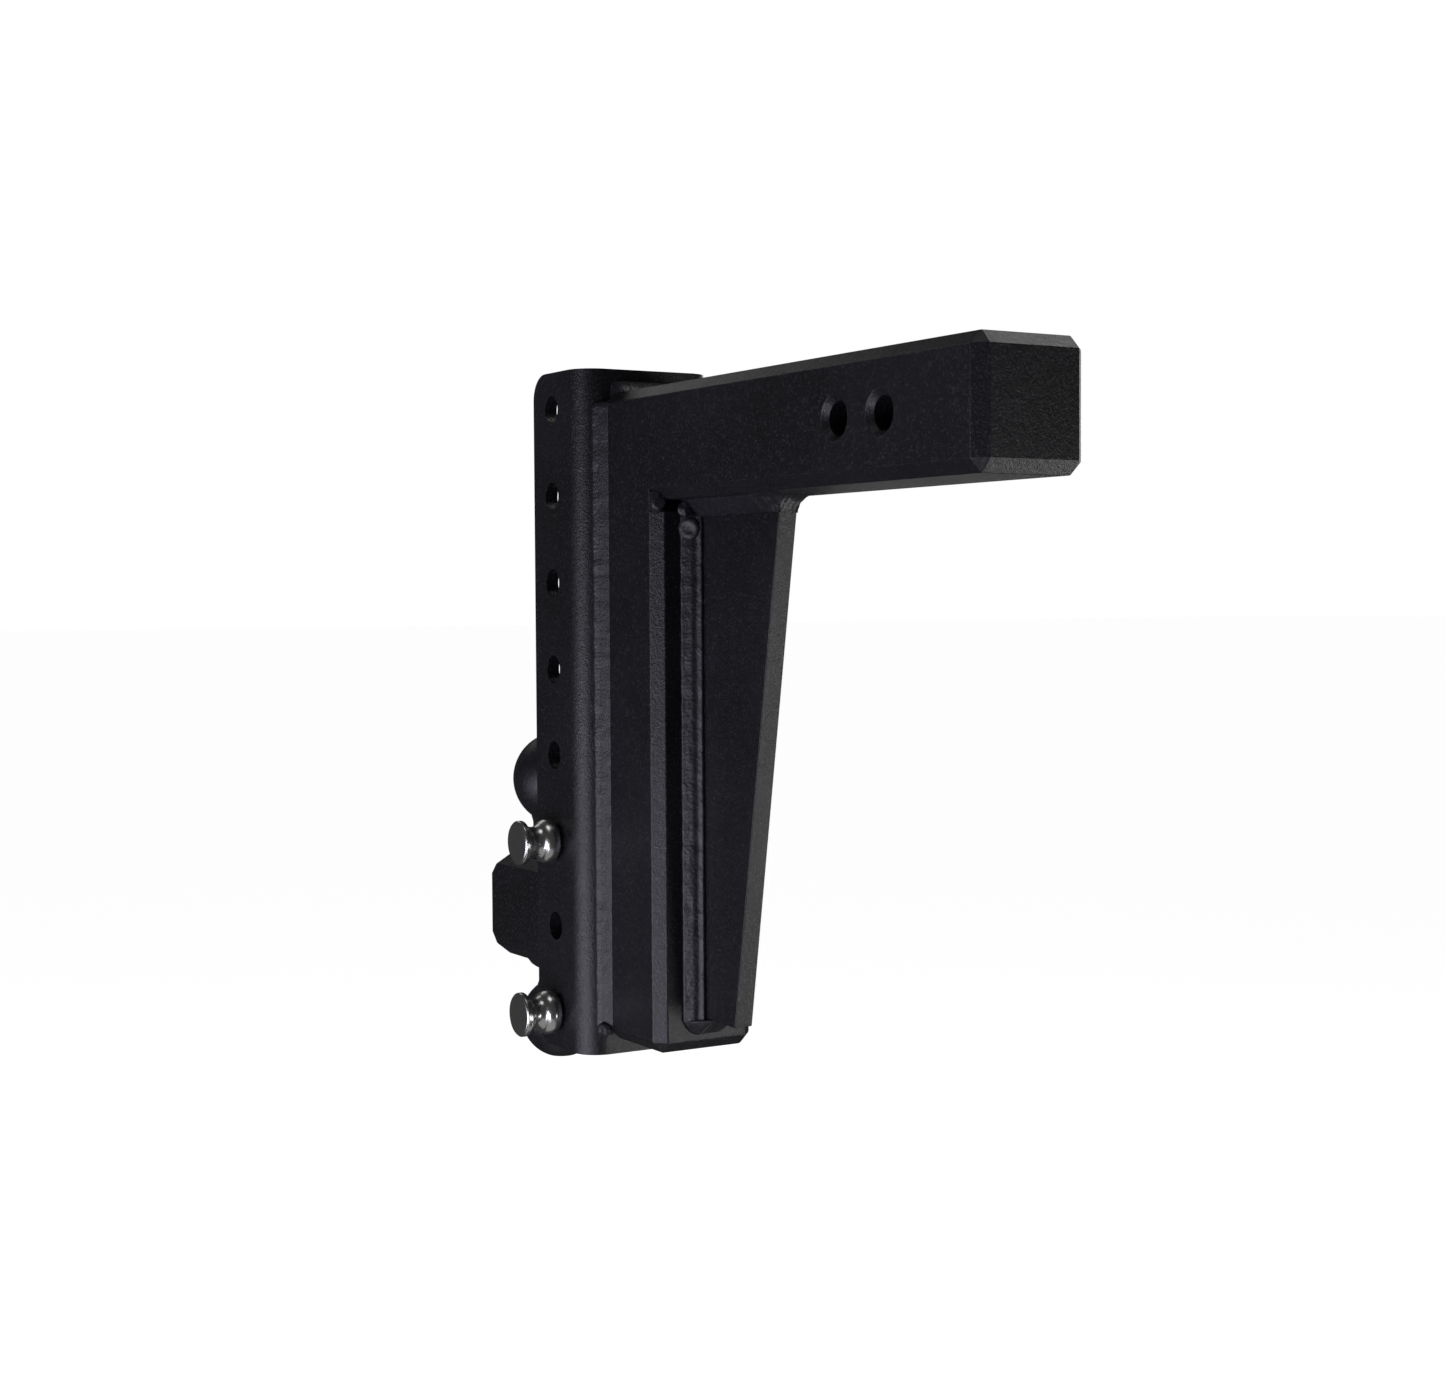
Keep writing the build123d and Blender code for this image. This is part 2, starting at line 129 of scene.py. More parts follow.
def mix_colour(tree, factor, a, b):
    node = tree.nodes.new("ShaderNodeMix")
    node.data_type = "RGBA"
    for name, value in (("Factor", factor), ("A", a), ("B", b)):
        socket = [s for s in node.inputs if s.name == name and s.enabled][0]
        if isinstance(value, tuple):
            socket.default_value = (*value, 1.0)
        elif isinstance(value, (int, float)):
            socket.default_value = value
        else:
            tree.links.new(value, socket)
    return [s for s in node.outputs if s.enabled][0]


def bump_node(tree, height, strength, distance, normal=None):
    node = add_node(tree, "ShaderNodeBump", Strength=strength, Distance=distance)
    tree.links.new(height, node.inputs["Height"])
    if normal is not None:
        tree.links.new(normal, node.inputs["Normal"])
    return node.outputs["Normal"]


def object_coords(tree):
    return tree.nodes.new("ShaderNodeTexCoord").outputs["Object"]


def edge_mask(tree, radius):
    """About 0 on flat surfaces, rising to 1 on edges sharper than the radius."""
    bevel = tree.nodes.new("ShaderNodeBevel")
    bevel.samples = 4
    bevel.inputs["Radius"].default_value = radius
    geometry = tree.nodes.new("ShaderNodeNewGeometry")
    dot = tree.nodes.new("ShaderNodeVectorMath")
    dot.operation = "DOT_PRODUCT"
    tree.links.new(bevel.outputs["Normal"], dot.inputs[0])
    tree.links.new(geometry.outputs["Normal"], dot.inputs[1])
    return ramp(tree, dot.outputs["Value"], [(0.86, 1.0), (0.985, 0.0)])


# ---- Materials
GRAIN_HEIGHT = 0.34 * MM
LATHE_RING_HEIGHT = 0.03 * MM
HAIRLINE_HEIGHT = 0.05 * MM
RUBBER_SKIN_HEIGHT = 0.05 * MM


def powder_coat(name, grain=0.0013, grain_depth=0.8, tone=0.9, roughness=(0.32, 0.38)):
    """Textured satin black powder coat: a fine pebbled skin, slightly blue, rubbed on its edges."""
    mat, tree, shader = new_material(name)
    coords = object_coords(tree)
    cloud = noise_node(tree, coords, 14.0, 4.0)
    pebble = noise_node(tree, coords, 1 / grain, 3.0, 0.75)
    peel = noise_node(tree, coords, 1 / (grain * 3), 2.0)
    dark = (0.0060 * tone, 0.0058 * tone, 0.0080 * tone)
    light = (0.0125 * tone, 0.0118 * tone, 0.0160 * tone)
    coat = mix_colour(tree, ramp(tree, cloud, [(0.35, 0.0), (0.65, 1.0)]), dark, light)
    speck = ramp(tree, pebble, [(0.56, 0.0), (0.68, 1.0)])
    coat = mix_colour(tree, math_node(tree, "MULTIPLY", speck, 0.7), coat, (0.085, 0.083, 0.094))
    patchy = ramp(tree, cloud, [(0.42, 0.15), (0.60, 1.0)])
    rubbed = math_node(tree, "MULTIPLY", edge_mask(tree, 0.0009), patchy)
    coat = mix_colour(tree, math_node(tree, "MULTIPLY", rubbed, 0.35), coat, (0.075, 0.074, 0.078))
    tree.links.new(coat, shader.inputs["Base Color"])
    low, high = roughness
    tree.links.new(ramp(tree, peel, [(0.3, low), (0.7, high)]), shader.inputs["Roughness"])
    height = math_node(tree, "ADD", pebble, math_node(tree, "MULTIPLY", peel, 0.6))
    tree.links.new(bump_node(tree, height, grain_depth, GRAIN_HEIGHT), shader.inputs["Normal"])
    shader.inputs["Specular IOR Level"].default_value = 0.5
    return mat


def turned_steel(name):
    """Polished stainless steel, turned: fine rings follow the lathe's feed along the profile."""
    mat, tree, shader = new_material(name)
    uv = tree.nodes.new("ShaderNodeTexCoord").outputs["UV"]
    split = tree.nodes.new("ShaderNodeSeparateXYZ")
    tree.links.new(uv, split.inputs[0])
    join = tree.nodes.new("ShaderNodeCombineXYZ")
    tree.links.new(split.outputs["Y"], join.inputs["Y"])
    tree.links.new(math_node(tree, "MULTIPLY", split.outputs["X"], 0.01), join.inputs["X"])
    rings = noise_node(tree, join.outputs[0], 5200.0, 2.0, 0.6)
    coords = object_coords(tree)
    smear = noise_node(tree, coords, 190.0, 4.0)
    blend = ramp(tree, smear, [(0.35, 0.0), (0.7, 1.0)])
    steel = mix_colour(tree, blend, (0.80, 0.80, 0.78), (0.70, 0.70, 0.68))
    scuffed = math_node(tree, "MULTIPLY", edge_mask(tree, 0.0006), 0.5)
    steel = mix_colour(tree, scuffed, steel, (0.78, 0.78, 0.77))
    tree.links.new(steel, shader.inputs["Base Color"])
    tree.links.new(ramp(tree, smear, [(0.3, 0.20), (0.75, 0.27)]), shader.inputs["Roughness"])
    tree.links.new(bump_node(tree, rings, 0.12, LATHE_RING_HEIGHT), shader.inputs["Normal"])
    shader.inputs["Metallic"].default_value = 1.0
    return mat


def plated_metal(name, light, dark, roughness):
    """Satin metal with cloudy tarnish, hairline scratches and brighter edges."""
    mat, tree, shader = new_material(name)
    coords = object_coords(tree)
    cloud = noise_node(tree, coords, 160.0, 5.0)
    stretch = tree.nodes.new("ShaderNodeMapping")
    stretch.inputs["Scale"].default_value = (1.0, 0.06, 1.0)
    tree.links.new(coords, stretch.inputs["Vector"])
    hair = noise_node(tree, stretch.outputs["Vector"], 900.0, 4.0, 0.7)
    metal = mix_colour(tree, ramp(tree, cloud, [(0.35, 0.0), (0.7, 1.0)]), light, dark)
    worn = math_node(tree, "MULTIPLY", edge_mask(tree, 0.0005), 0.6)
    metal = mix_colour(tree, worn, metal, (0.85, 0.85, 0.84))
    tree.links.new(metal, shader.inputs["Base Color"])
    low, high = roughness
    tree.links.new(ramp(tree, cloud, [(0.3, low), (0.75, high)]), shader.inputs["Roughness"])
    tree.links.new(bump_node(tree, hair, 0.18, HAIRLINE_HEIGHT), shader.inputs["Normal"])
    shader.inputs["Metallic"].default_value = 1.0
    return mat


def moulded_rubber(name):
    """Black rubber: matte, slightly mottled, with a greyer bloom on its edges."""
    mat, tree, shader = new_material(name)
    coords = object_coords(tree)
    mottle = noise_node(tree, coords, 420.0, 4.0)
    skin = noise_node(tree, coords, 2600.0, 2.0)
    blend = ramp(tree, mottle, [(0.35, 0.0), (0.7, 1.0)])
    skin_colour = mix_colour(tree, blend, (0.014, 0.014, 0.014), (0.030, 0.029, 0.028))
    bloom = math_node(tree, "MULTIPLY", edge_mask(tree, 0.0006), 0.5)
    skin_colour = mix_colour(tree, bloom, skin_colour, (0.08, 0.078, 0.075))
    tree.links.new(skin_colour, shader.inputs["Base Color"])
    tree.links.new(ramp(tree, mottle, [(0.3, 0.62), (0.7, 0.82)]), shader.inputs["Roughness"])
    tree.links.new(bump_node(tree, skin, 0.3, RUBBER_SKIN_HEIGHT), shader.inputs["Normal"])
    return mat


coat_bar = powder_coat("coat_bar")
coat_plate = powder_coat("coat_plate", grain=0.0013, tone=0.95)
# The weld beads wear the same powder coat as the bars; tone 1.5 makes this a lighter copy of it, painted
# light that brightens every bead, puddle and blob.
coat_weld_painted_lighter = powder_coat("coat_weld_painted_lighter", grain=0.0012, grain_depth=0.6, tone=1.5, roughness=(0.34, 0.42))
coat_ball = powder_coat("coat_ball", grain=0.0011, grain_depth=0.4, roughness=(0.35, 0.42))
steel_pin = turned_steel("steel_pin")
plated_lock = plated_metal("plated_lock", (0.62, 0.63, 0.64), (0.46, 0.47, 0.48), (0.20, 0.34))
brass_key = plated_metal("brass_key", (0.60, 0.46, 0.22), (0.40, 0.29, 0.14), (0.28, 0.46))
ground_latch = plated_metal("ground_latch", (0.46, 0.46, 0.46), (0.34, 0.34, 0.35), (0.30, 0.42))
rubber = moulded_rubber("rubber")


# ---- Carried-over CAD nodes: soft edges by modifier, and the right material
def smooth_shading_group():
    """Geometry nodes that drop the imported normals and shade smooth, leaving the mesh itself alone."""
    group = bpy.data.node_groups.new("smooth_shading", "GeometryNodeTree")
    group.interface.new_socket("Geometry", in_out="INPUT", socket_type="NodeSocketGeometry")
    group.interface.new_socket("Geometry", in_out="OUTPUT", socket_type="NodeSocketGeometry")
    start = group.nodes.new("NodeGroupInput")
    drop = group.nodes.new("GeometryNodeRemoveAttribute")
    drop.inputs["Name"].default_value = "custom_normal"
    shade = group.nodes.new("GeometryNodeSetShadeSmooth")
    end = group.nodes.new("NodeGroupOutput")
    group.links.new(start.outputs[0], drop.inputs["Geometry"])
    group.links.new(drop.outputs["Geometry"], shade.inputs["Geometry"])
    group.links.new(shade.outputs["Geometry"], end.inputs[0])
    return group


smooth_shading = smooth_shading_group()


def dress(node, material, edge=0.5 * MM, angle=24.0, segments=3):
    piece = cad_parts[node]
    piece.material_slots[0].material = material
    shading = piece.modifiers.new("smooth_shading", "NODES")
    shading.node_group = smooth_shading
    weld = piece.modifiers.new("join_facets", "WELD")
    weld.merge_threshold = 0.004 * MM
    flat = piece.modifiers.new("flat_faces", "DECIMATE")
    flat.decimate_type = "DISSOLVE"
    flat.angle_limit = radians(0.4)
    if edge > 0:
        bevel = piece.modifiers.new("soft_edges", "BEVEL")
        bevel.width = edge
        bevel.segments = segments
        bevel.limit_method = "ANGLE"
        bevel.angle_limit = radians(angle)
        bevel.harden_normals = True
        bevel.use_clamp_overlap = True


for node in ("shank_bar", "drop_bar", "ball_block"):
    dress(node, coat_bar, edge=0.7 * MM)
dress("mount_upright", coat_bar, edge=0.6 * MM)
dress("channel", coat_plate, edge=0.6 * MM, angle=35.0)
dress("gusset_plate", coat_plate, edge=0.5 * MM)
for set_name in ("upper", "lower"):
    dress(f"lock_body_{set_name}", plated_lock, edge=0.25 * MM, angle=35.0)
    dress(f"lock_seal_{set_name}", rubber, edge=0)
    dress(f"latch_bolt_{set_name}", ground_latch, edge=0.2 * MM)
    dress(f"key_cylinder_{set_name}", brass_key, edge=0.15 * MM, angle=35.0)
    dress(f"dust_cap_{set_name}", rubber, edge=0.25 * MM, angle=35.0)


# ---- Mesh helpers
def make_piece(name, bm, material, body, node=None):
    bmesh.ops.recalc_face_normals(bm, faces=bm.faces)
    mesh = bpy.data.meshes.new(name)
    bm.to_mesh(mesh)
    bm.free()
    mesh.shade_smooth()
    mesh.materials.append(material)
    piece = bpy.data.objects.new(name, mesh)
    bpy.context.scene.collection.objects.link(piece)
    if node:
        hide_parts(node)
    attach(piece, body)
    return piece


def lathe(profile, origin, axis, across, segments=96):
    """Closed turned solid from (radius, distance along the axis) points that start and end on the axis."""
    bm = bmesh.new()
    uv_layer = bm.loops.layers.uv.new("UVMap")
    side = axis.cross(across).normalized()
    rings = []
    lengths = [0.0]
    for a, b in zip(profile, profile[1:]):
        lengths.append(lengths[-1] + hypot(b[0] - a[0], b[1] - a[1]))
    for r, h in profile:
        centre = origin + axis * h
        if r < 1e-7:
            rings.append([bm.verts.new(centre)])
            continue
        turn = [2 * pi * k / segments for k in range(segments)]
        rings.append([bm.verts.new(centre + (across * cos(t) + side * sin(t)) * r) for t in turn])
    for row, (low, high) in enumerate(zip(rings, rings[1:])):
        for k in range(segments):
            nxt = (k + 1) % segments
            if len(low) == 1 and len(high) == 1:
                continue
            if len(low) == 1:
                corners = [(low[0], row, k), (high[k], row + 1, k), (high[nxt], row + 1, k + 1)]
            elif len(high) == 1:
                corners = [(low[k], row, k), (high[0], row + 1, k), (low[nxt], row, k + 1)]
            else:
                corners = [
                    (low[k], row, k),
                    (high[k], row + 1, k),
                    (high[nxt], row + 1, k + 1),
                    (low[nxt], row, k + 1),
                ]
            face = bm.faces.new([c[0] for c in corners])
            for loop, (_, ring, step) in zip(face.loops, corners):
                loop[uv_layer].uv = (step / segments, lengths[ring])
    return bm


def arc_points(start, middle, end, count):
    """Points of the circle arc through three (radius, height) points, without the first."""
    (ax, ay), (bx, by), (cx, cy) = start, middle, end
    d = 2 * (ax * (by - cy) + bx * (cy - ay) + cx * (ay - by))
    a2, b2, c2 = ax**2 + ay**2, bx**2 + by**2, cx**2 + cy**2
    ox = (a2 * (by - cy) + b2 * (cy - ay) + c2 * (ay - by)) / d
    oy = (a2 * (cx - bx) + b2 * (ax - cx) + c2 * (bx - ax)) / d
    first = atan2(ay - oy, ax - ox)
    to_middle = (atan2(by - oy, bx - ox) - first) % (2 * pi)
    sweep = (atan2(cy - oy, cx - ox) - first) % (2 * pi)
    if to_middle > sweep:
        sweep -= 2 * pi
    radius = hypot(ax - ox, ay - oy)
    turns = [first + sweep * k / count for k in range(1, count + 1)]
    return [(ox + radius * cos(t), oy + radius * sin(t)) for t in turns]


# ---- Pull pins, turned with an hourglass knob
FLANGE_Y = channel_hi.y
KNOB_FACE = -FLANGE_Y - 0.5 * MM
KNOB_R = 13.0 * MM
WAIST_R = 9.0 * MM
KNOB_LENGTH = 24.6 * MM
PIN_R = 7.9375 * MM
LOCK_FACE = FLANGE_Y + 0.5 * MM


def soft(points, corner, steps=4):
    """Rounds every corner of a polyline of (radius, height) points with a small arc-like curve."""
    result = [points[0]]
    for a, b, c in zip(points, points[1:], points[2:]):
        va, vb, vc = Vector(a), Vector(b), Vector(c)
        back = min(corner, (va - vb).length * 0.45, (vc - vb).length * 0.45)
        p = vb + (va - vb).normalized() * back
        q = vb + (vc - vb).normalized() * back
        for k in range(steps + 1):
            t = k / steps
            result.append(tuple((p * (1 - t) ** 2) + vb * (2 * t * (1 - t)) + q * t**2))
    result.append(points[-1])
    return result


def pin_profile(tip):
    back = KNOB_FACE
    head = back - KNOB_LENGTH
    rim = (KNOB_R - 0.5 * MM, head + 4.0 * MM)
    bead_back = (KNOB_R - 2.6 * MM, back - 10.8 * MM)
    face = soft([(0, head + 0.25 * MM), (KNOB_R - 2.2 * MM, head), (KNOB_R - 0.9 * MM, head)], 0.3 * MM)
    edge = soft(
        [face[-1], (KNOB_R, head + 0.9 * MM), (KNOB_R, head + 3.5 * MM), rim],
        0.35 * MM,
    )
    waist = arc_points(rim, (WAIST_R, back - 15.2 * MM), bead_back, 22)
    bead = arc_points(bead_back, (KNOB_R, back - 5.4 * MM), (KNOB_R - 3.0 * MM, back), 26)
    groove = LOCK_FACE + 7.0 * MM
    shaft = soft(
        [
            bead[-1],
            (PIN_R, back),
            (PIN_R, groove),
            (5.6 * MM, groove),
            (5.6 * MM, groove + 4.4 * MM),
            (PIN_R, groove + 4.4 * MM),
            (PIN_R, tip - 1.5 * MM),
            (PIN_R - 1.5 * MM, tip),
            (0, tip),
        ],
        0.2 * MM,
    )
    return face[:-1] + edge[:-1] + [rim] + waist + bead[:-1] + shaft


for set_name in ("upper", "lower"):
    node = f"pull_pin_{set_name}"
    lo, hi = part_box(node)
    pin_z = (lo.z + hi.z) / 2
    origin = Vector((PIN_LINE_X, 0, pin_z))
    bm = lathe(pin_profile(hi.y), origin, Vector((0, 1, 0)), Vector((1, 0, 0)), 112)
    make_piece(f"pin_{set_name}", bm, steel_pin, f"{set_name}_pin", node)


# ---- Towing balls with their necks
def ball_profile(radius, neck_r, centre, base, up):
    """From the block's face out to the ball's flat end: (radius, height along +Z) points."""
    join = sqrt(radius**2 - neck_r**2)
    flat = radius - 1.5 * MM
    flat_r = sqrt(radius**2 - flat**2)
    points = [(0, base), (neck_r, base)]
    start = -asin(join / radius)
    end = asin(flat / radius)
    fillet = 5.0 * MM
    for k in range(1, 9):
        t = k / 8
        blend_r = neck_r + fillet * 0.22 * t**2
        points.append((blend_r, centre - up * (join + fillet * (1 - t))))
    for k in range(1, 57):
        t = start + (end - start) * k / 56
        points.append((radius * cos(t), centre + up * radius * sin(t)))
    top = centre + up * flat
    points += soft([(flat_r, top), (flat_r * 0.5, top), (0, top)], 0.5 * MM)
    return points


# Name, side of the block, radius, neck radius, centre's height over the block's face
BALLS = (
    ("large", 1, 29.369 * MM, 17.0 * MM, 48.9 * MM),
    ("small", -1, 25.4 * MM, 14.0 * MM, 39.7 * MM),
)
for ball_name, up, radius, neck_r, height in BALLS:
    seat = MOUNT_Z + up * BAR_HALF
    bm = lathe(
        ball_profile(radius - 0.01 * MM, neck_r, seat + up * height, seat, up),
        Vector((BALL_X, 0, 0)),
        Vector((0, 0, 1)),
        Vector((1, 0, 0)),
        112,
    )
    ball_node = f"towing_ball_{ball_name}"
    make_piece(f"ball_{ball_name}", bm, coat_ball, "root", ball_node)


# ---- Weld beads
TOE_SINK = 0.05 * MM
CRESCENT_SAG = 2.4 * MM


def fade(distance, length):
    """Quarter-round start or stop of a bead."""
    if distance >= length:
        return 1.0
    x = 1 - distance / length
    return sqrt(max(0.0, 1 - x * x))


def lobe(u, start, end, power=0.75):
    return sin(pi * (u - start) / (end - start)) ** power if start < u < end else 0.0


def single_pass(u, _):
    return lobe(u, 0.0, 1.0)


def follow(u, points):
    """Smooth curve through (u, height) points."""
    for (ua, ha), (ub, hb) in zip(points, points[1:]):
        if u <= ub:
            t = (u - ua) / (ub - ua)
            return ha + (hb - ha) * t * t * (3 - 2 * t)
    return points[-1][1]


def double_pass(u, _):
    """A flat wide first pass, a shallow valley, and a second pass that rises to its own toe."""
    return follow(u, ((0.0, 0.0), (0.07, 0.86), (0.5, 0.98), (0.72, 0.60), (0.95, 0.95), (1.0, 0.0)))


def ridged_pass(u, _):
    """A narrow ridge along the first toe, then a low, even slope down to the second."""
    if u < 0.20:
        return sin(pi / 2 * u / 0.20)
    if u < 0.38:
        return 1 - 0.42 * (u - 0.20) / 0.18
    return 0.58 * (1 - (u - 0.38) / 0.62)


def hollow_front_pass(u, t):
    """Nearly flat along both sides, hollow where the bead wraps round the front end."""
    front = min(1.0, max(0.0, (0.14 - abs(t - 0.5)) / 0.05))
    return lobe(u, 0.0, 1.0) * (0.5 - 3.4 * front)


def bead(name, node, stations, crown, ripple, pitch, seed, rows=14, section=single_pass,
         ends=(4.0 * MM, 4.0 * MM), wander=0.35 * MM, slant=0.0, closed=False):
    """A weld bead between two toes. Each station is (first toe, second toe, root); the surface follows
    the section between the toes, crossed by crescent ripples where the pool set."""
    mids = [(a + b) / 2 for a, b, _ in stations]
    along = [0.0]
    for p, q in zip(mids, mids[1:]):
        along.append(along[-1] + (q - p).length)
    total = along[-1]
    coins = int(total / pitch) + 8
    jitter = [random.uniform(-0.22, 0.22) for _ in range(coins)]
    rise = [random.uniform(0.55, 1.15) for _ in range(coins)]
    bm = bmesh.new()
    rings = []
    for s, mid, (toe_a, toe_b, root) in zip(along, mids, stations):
        tip = 1.0 if closed else fade(s, ends[0]) * fade(total - s, ends[1])
        tip = max(tip, 0.02)
        out = (mid - root).normalized()
        wave_a = noise.noise(Vector((s * 160, seed, 3.1))) * wander
        wave_b = noise.noise(Vector((s * 160, seed + 9.0, 7.7))) * wander
        toe_a = root + (toe_a - root) * (1 - (1 - tip) * 0.55)
        toe_b = root + (toe_b - root) * (1 - (1 - tip) * 0.55)
        toe_a = toe_a + (toe_a - root).normalized() * wave_a
        toe_b = toe_b + (toe_b - root).normalized() * wave_b
        ring = []
        for k in range(rows + 1):
            u = k / rows
            swell = section(u, s / total)
            phase = (s + CRESCENT_SAG * (2 * u - 1) ** 2 + slant * u) / pitch
            coin = floor(phase)
            phase += jitter[coin % coins] * 0.5
            part = phase - floor(phase)
            scallop = sin(pi * part**0.6) * rise[coin % coins]
            rough = noise.noise(Vector((s * 700, u * 7, seed))) * 0.16 * MM
            rough += noise.noise(Vector((s * 120, u * 2, seed + 4))) * 0.30 * MM
            lift = (crown * swell + ripple * scallop * abs(swell) + rough * abs(swell)) * tip
            ring.append(bm.verts.new(toe_a.lerp(toe_b, u) + out * lift))
        ring.append(bm.verts.new(root))
        rings.append(ring)
    count = len(rings[0])
    for low, high in zip(rings, rings[1:]):
        for k in range(count):
            nxt = (k + 1) % count
            bm.faces.new((low[k], low[nxt], high[nxt], high[k]))
    bm.faces.new(rings[0])
    bm.faces.new(list(reversed(rings[-1])))
    return make_piece(name, bm, coat_weld_painted_lighter, "root", node)


def steps(a, b, spacing=0.7 * MM):
    count = max(2, ceil((b - a).length / spacing))
    return [a.lerp(b, k / count) for k in range(count + 1)]


# Long beads between the bar sides and the channel's bend
bead_bottom = bar_lo.z + CHAMFER
bead_top = BAR_HALF - CHAMFER + 1.5 * MM
for side_name, side in (("near", -1), ("far", 1)):
    stations = []
    for point in steps(Vector((WEB_X, 0, bead_bottom - 3.5 * MM)), Vector((WEB_X, 0, bead_top))):
        toe_bar = Vector((WEB_X + 10.5 * MM, side * (BAR_HALF - TOE_SINK), point.z))
        toe_bend = Vector((WEB_X - 2.3 * MM, side * 36.6 * MM, point.z))
        root = Vector((WEB_X + 0.5 * MM, side * 28.0 * MM, point.z))
        stations.append((toe_bend, toe_bar, root))
    bead(f"bead_channel_{side_name}", f"weld_channel_{side_name}", stations, 1.5 * MM, 0.12 * MM, 2.4 * MM,
         rows=20, section=ridged_pass, ends=(2.5 * MM, 4.0 * MM), seed=2.0 + side)

# Bead across the shank's top
stations = []
for point in steps(Vector((0, -BAR_HALF + CHAMFER, 0)), Vector((0, BAR_HALF - CHAMFER, 0))):
    toe_web = Vector((WEB_X + 0.02 * MM, point.y, BAR_HALF + 7.7 * MM))
    toe_shank = Vector((WEB_X + 12.0 * MM, point.y, BAR_HALF - TOE_SINK))
    root = Vector((WEB_X + 0.5 * MM, point.y, BAR_HALF - 4.0 * MM))
    stations.append((toe_web, toe_shank, root))
bead("bead_channel_top", "weld_channel_top", stations, 1.2 * MM, 0.3 * MM, 3.0 * MM, seed=6.0)

# Two-pass fillets down both sides of the gusset, rounded off below its foot
FOOT_RUN = 6.5 * MM
for side_name, side in (("near", -1), ("far", 1)):
    stations = []
    for point in steps(Vector((0, 0, gusset_lo.z - FOOT_RUN)), Vector((0, 0, -BAR_HALF - 6.5 * MM))):
        below = min(1.0, max(0.0, (gusset_lo.z - point.z) / FOOT_RUN))
        keep = sqrt(1 - below**2) * 0.9 + 0.1
        toe_face = Vector((BAR_FACE_X - TOE_SINK, side * (GUSSET_Y + 10.2 * MM * keep), point.z))
        toe_plate = Vector((BAR_FACE_X + 8.6 * MM * keep, side * (GUSSET_Y - TOE_SINK), point.z))
        root = Vector((BAR_FACE_X - 0.6 * MM, side * (GUSSET_Y - 0.6 * MM), point.z))
        stations.append((toe_face, toe_plate, root))
    bead(f"bead_gusset_{side_name}", f"weld_gusset_{side_name}", stations, 1.3 * MM, 0.13 * MM, 2.2 * MM,
         rows=22, section=double_pass, ends=(1.5 * MM, 3.0 * MM), slant=3.0 * MM, seed=11.0 + side)


def wrap_path(inner_half, corner_x, turn_steps=14):
    """Stations (point, outward) along the near side, round the front end and back along the far side."""
    path = []
    start = Vector((BAR_FACE_X - 0.4 * MM, -inner_half, 0))
    front_near = Vector((corner_x, -inner_half, 0))
    for p in steps(start, front_near):
        path.append((p, Vector((0, -1, 0))))
    for k in range(1, turn_steps):
        t = radians(-90 + 90 * k / turn_steps)
        path.append((front_near, Vector((cos(t), sin(t), 0))))
    front_far = Vector((corner_x, inner_half, 0))
    for p in steps(front_near, front_far):
        path.append((p, Vector((1, 0, 0))))
    for k in range(1, turn_steps):
        t = radians(90 * k / turn_steps)
        path.append((front_far, Vector((cos(t), sin(t), 0))))
    for p in steps(front_far, Vector((BAR_FACE_X - 0.4 * MM, inner_half, 0))):
        path.append((p, Vector((0, 1, 0))))
    return path


# Bead round the gusset's top, under the shank
TOP_LEG = 10.0 * MM
stations = []
for point, out in wrap_path(GUSSET_Y, gusset_hi.x):
    toe_shank = Vector((point.x, point.y, -BAR_HALF + TOE_SINK)) + out * TOP_LEG
    slant = TOP_LEG * GUSSET_SLOPE if point.x > gusset_hi.x - 0.1 * MM else 0.0
    toe_plate = Vector((point.x - slant, point.y, -BAR_HALF - TOP_LEG)) - out * TOE_SINK
    root = Vector((point.x, point.y, -BAR_HALF + 0.6 * MM)) - out * 0.8 * MM
    stations.append((toe_shank, toe_plate, root))
bead("bead_gusset_top", "weld_gusset_top", stations, 1.0 * MM, 0.16 * MM, 3.4 * MM,
     section=hollow_front_pass, ends=(0.2 * MM, 0.2 * MM), wander=0.8 * MM, seed=21.0)

# Bead round the gusset's foot, on the drop bar's face
FOOT_LEG = 10.0 * MM
FOOT_DEPTH = 15.0 * MM
stations = []
foot_path = []
for k in range(15):
    t = radians(90 * k / 14)
    foot_path.append((Vector((0, -GUSSET_Y, gusset_lo.z)), Vector((0, -cos(t), -sin(t)))))
for p in steps(Vector((0, -GUSSET_Y, gusset_lo.z)), Vector((0, GUSSET_Y, gusset_lo.z))):
    foot_path.append((p, Vector((0, 0, -1))))
for k in range(1, 15):
    t = radians(90 * k / 14)
    foot_path.append((Vector((0, GUSSET_Y, gusset_lo.z)), Vector((0, sin(t), -cos(t)))))
for point, out in foot_path:
    toe_face = Vector((BAR_FACE_X - TOE_SINK, point.y, point.z)) + out * FOOT_LEG
    toe_plate = Vector((BAR_FACE_X + FOOT_DEPTH, point.y, point.z)) - out * TOE_SINK
    root = Vector((BAR_FACE_X - 0.6 * MM, point.y, point.z)) - out * 0.6 * MM
    stations.append((toe_face, toe_plate, root))
bead("bead_gusset_foot", "weld_gusset_foot", stations, 0.8 * MM, 0.15 * MM, 3.2 * MM,
     ends=(0.5 * MM, 0.5 * MM), seed=25.0)


def ring_stations(centre, r_in, leg, z_face, up, count=150):
    out = []
    for k in range(count + 1):
        t = 2 * pi * k / count
        ray = Vector((cos(t), sin(t), 0))
        toe_block = centre + ray * (r_in + leg) + Vector((0, 0, z_face - up * TOE_SINK))
        toe_neck = centre + ray * (r_in - TOE_SINK) + Vector((0, 0, z_face + up * leg))
        root = centre + ray * (r_in - 0.6 * MM) + Vector((0, 0, z_face - up * 0.6 * MM))
        out.append((toe_block, toe_neck, root))
    return out


